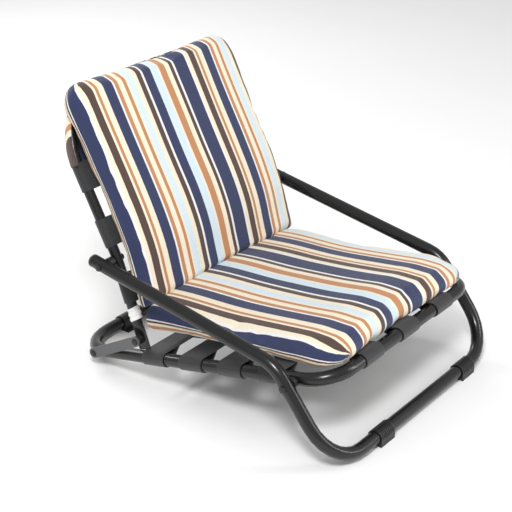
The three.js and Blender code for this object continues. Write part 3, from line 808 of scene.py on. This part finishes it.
def wrinkle(pad, points):
    """Slow hollows in the padding, and short creases that run in from the sewn edges."""
    middle = pad.bottom(points[:, 0], points[:, 1]) + SHOWN_FROM
    shown = smooth_step(points[:, 2], middle, middle + SHOWN_RISE)
    edge = np.clip((CUSHION_HALF_WIDTH - np.abs(points[:, 0])) / CREASE_REACH, 0, 1)
    for index, point in enumerate(points):
        slow = noise.noise(Vector((point[0] * 9, point[1] * 9, 3.0)))
        crease = noise.noise(Vector((point[0] * 14, point[1] * 55, 8.0)))
        sharp = (1 - edge[index]) * max(0.0, crease) ** 1.5
        points[index, 2] += shown[index] * (HOLLOW_DEPTH * slow - CREASE_DEPTH * sharp)
    return points


SEAT_START, SEAT_END = -0.008, 0.378
SEAT_EDGE = 0.032              # thickness at the sides
SEAT_CROWN = 0.009
SEAT_REAR_RISE = 0.008
SEAT_LIFT = 0.03               # how far the back half holds the rear of the seat half off the bands
FRONT_DROP = 0.009


def crown_share(across):
    return 1 - (np.abs(across) / CUSHION_HALF_WIDTH) ** 2.5


def seat_lift(along):
    return SEAT_LIFT * smooth_step(along, 0.0, 0.4)


def seat_bottom(across, along):
    return BAND_TOP_ON_SEAT + CLOTH_GAP + seat_lift(along)


def seat_top(across, along):
    crown = SEAT_CROWN * crown_share(across)
    rise = SEAT_REAR_RISE * smooth_step(along, 0.2, 0.37)
    drop = FRONT_DROP * (1 - smooth_step(along, SEAT_START, SEAT_START + 0.07))
    return BAND_TOP_ON_SEAT + SEAT_EDGE + crown + rise - drop + seat_lift(along)


BACK_START = -0.093
BACK_END = top_bar_height + BACK_TUBE_RADIUS + 0.009
BACK_EDGE = 0.031
BACK_CROWN = 0.009
BACK_LOW_THIN = 0.012


def back_bottom(across, along):
    return np.full_like(across, BAND_FRONT_ON_BACK + CLOTH_GAP)


def back_top(across, along):
    crown = BACK_CROWN * crown_share(across)
    thin = BACK_LOW_THIN * (1 - smooth_step(along, BACK_START, BACK_START + 0.16))
    return BAND_FRONT_ON_BACK + BACK_EDGE + crown - thin


seat_half = Pad(
    "seat_cushion_half", SEAT_HALF_WIDTH, SEAT_START, SEAT_END, True, seat_bottom, seat_top,
)
back_half = Pad(
    "back_cushion_half", BACK_HALF_WIDTH, BACK_START, BACK_END, False, back_bottom, back_top,
)
seat_cushion = seat_half.build(on_seat, "seat_cushion", ["seat_pad"])
back_cushion = back_half.build(on_back, "back", ["back_pad"])

# ---- Pocket over the top of the back frame ------------------------------------------------------

POCKET_DEPTH = 0.12
POCKET_TUBE_CORNER = 0.11
POCKET_ROOM = 0.0118           # middle of the tube to the outside of the pocket
REAR_PANEL_SHIFT = 0.045       # the rear panel is cut from another place in the stripes


POCKET_EDGE_ROUND = 0.013      # over this length the sheet turns from the front to the rear
POCKET_START = 0.004           # where the sheet starts, in front of the bands
POCKET_LOOSE = 0.0012          # waves in the rear panel
POCKET_SAG = 0.0015
POCKET_FLARE = 0.0022          # how far the open lower edge stands off


def corner_distance(x, height, half, top, corner):
    """Distance inside a sheet's outline with rounded upper corners."""
    right = abs(x) - (half - corner)
    up = height - (top - corner)
    if right > 0 and up > 0:
        return corner - math.hypot(right, up)
    return min(half - abs(x), top - height)


def pocket_grid(columns, rows):
    """The sheet's points in the back's coordinates, row by row from the open lower edge."""
    half = back_tube_x + POCKET_ROOM
    top = top_bar_height + POCKET_ROOM
    corner = POCKET_TUBE_CORNER + POCKET_ROOM
    bottom = top - POCKET_DEPTH
    front = BAND_FRONT_ON_BACK + POCKET_START
    depth = front + POCKET_ROOM
    vertices = []
    for i in range(rows + 1):
        v = i / rows
        for j in range(columns + 1):
            u = math.sin(math.pi / 2 * (2 * j / columns - 1))
            height = bottom + (top - bottom) * math.sin(math.pi / 2 * v)
            into = max(0.0, height - (top - corner))
            inset = corner - math.sqrt(max(0.0, corner**2 - into**2))
            x = u * (half - inset)
            near_top = (top - height) / POCKET_EDGE_ROUND
            near_side = corner_distance(x, height, half, top, corner) / POCKET_EDGE_ROUND
            share = min(1.0, max(0.0, min(near_top, near_side)))
            turned_in = math.sqrt(1 - (1 - share) ** 2)
            loose = noise.noise(Vector((x * 16, height * 30, 1.0))) * POCKET_LOOSE * turned_in
            sag = POCKET_SAG * math.cos(math.pi * x / (2 * half)) * turned_in * (1 - v)
            flare = POCKET_FLARE * (1 - v) ** 3 * turned_in
            vertices.append((x, height, front - depth * turned_in - abs(loose) + sag - flare))
    return np.array(vertices)


def add_pocket():
    """A sheet that starts on the back of the cushion's edge and turns round behind the tubes."""
    columns, rows = 120, 60
    vertices = pocket_grid(columns, rows)
    count = columns + 1
    faces = []
    for i in range(rows):
        for j in range(columns):
            a = i * count + j
            faces.append((a, a + count, a + count + 1, a + 1))
    piece = new_piece("cushion_pocket", on_back(vertices), faces, cushion_cloth)
    set_attribute(piece, "across", vertices[:, 0] + REAR_PANEL_SHIFT)
    set_attribute(piece, "along", vertices[:, 1])
    give_wall(piece, POCKET_WALL)
    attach(piece, "back")
    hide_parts("back_pad")


add_pocket()

# ---- Ties ---------------------------------------------------------------------------------------

TIE_WIDTH = 0.022
TIE_WALL = 0.0009
TIE_LOOSE = 0.0009
TIE_RADIUS = BACK_TUBE_RADIUS + 0.0005
TIE_FOLD = 0.0006              # depth of the creases round the tape
TIE_LEAN = 0.0025


def add_tie(side_name):
    """White tape wound once round the back tube, a little creased and leaning."""
    node = f"cushion_tie_{side_name}"
    low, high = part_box(node)
    sign = 1 if low.x > 0 else -1
    centre = side_point(node)
    height = float((centre - arm_pivot) @ back_lower)
    rings, sides = 14, 40
    vertices = []
    for i in range(rings + 1):
        v = i / rings
        for k in range(sides):
            angle = 2 * math.pi * k / sides
            fold = TIE_FOLD * math.sin(v * math.pi * 5 + math.sin(angle) * 1.4)
            puff = TIE_RADIUS + TIE_LOOSE + fold
            x = sign * back_tube_x + puff * math.cos(angle)
            lean = TIE_LEAN * math.sin(angle)
            vertices.append((x, height + TIE_WIDTH * (v - 0.5) + lean, puff * math.sin(angle)))
    faces = ring_faces(rings, sides)
    piece = new_piece(f"tie_wrap_{side_name}", on_back(np.array(vertices)), faces, tie_cloth)
    give_wall(piece, TIE_WALL)
    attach(piece, "back")
    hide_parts(node)


for side_name in SIDES:
    add_tie(side_name)

# ---- Ribs on the front feet ---------------------------------------------------------------------

RIB_COUNT = 7
RIB_WIDTH = 0.0022
RIB_RISE = 0.0011
RIB_ROOT = 0.0005              # how deep a rib starts under the foot's surface
RIB_TOP_SHARE = 0.32           # half of a rib's top, against the width of its foot
RIB_FROM, RIB_TURN = 78, 112   # in degrees round the bar
FOOT_WRAP = 0.0135             # outer radius of the foot round the bar


def add_foot_ribs(side_name):
    """Moulded grip ribs round the front of a front foot."""
    node = f"front_foot_{side_name}"
    low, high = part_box(node)
    bar_z = high.z - FOOT_WRAP
    bar_y = low.y + FOOT_WRAP
    vertices, faces = [], []
    steps = 14
    for rib in range(RIB_COUNT):
        middle = low.x + (high.x - low.x) * (rib + 1) / (RIB_COUNT + 1)
        base = len(vertices)
        for i in range(steps + 1):
            angle = math.radians(RIB_FROM + RIB_TURN * i / steps)
            taper = math.sin(math.pi * i / steps) ** 0.4
            for radius, half in (
                (FOOT_WRAP - RIB_ROOT, RIB_WIDTH / 2),
                (FOOT_WRAP + RIB_RISE * taper, RIB_WIDTH * RIB_TOP_SHARE),
            ):
                for sign in (-1, 1):
                    vertices.append((
                        middle + sign * half,
                        bar_y + radius * math.cos(angle),
                        bar_z + radius * math.sin(angle),
                    ))
        for i in range(steps):
            a = base + 4 * i
            faces += [(a, a + 2, a + 6, a + 4), (a + 2, a + 3, a + 7, a + 6),
                      (a + 3, a + 1, a + 5, a + 7), (a + 1, a, a + 4, a + 5)]
        faces += [(base, base + 1, base + 3, base + 2)]
        last = base + 4 * steps
        faces += [(last, last + 2, last + 3, last + 1)]
    piece = new_piece(f"foot_ribs_{side_name}", vertices, faces, black_plastic, smooth=False)
    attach(piece, "arms")


for side_name in SIDES:
    add_foot_ribs(side_name)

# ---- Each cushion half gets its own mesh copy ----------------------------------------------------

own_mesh(seat_cushion)
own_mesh(back_cushion)
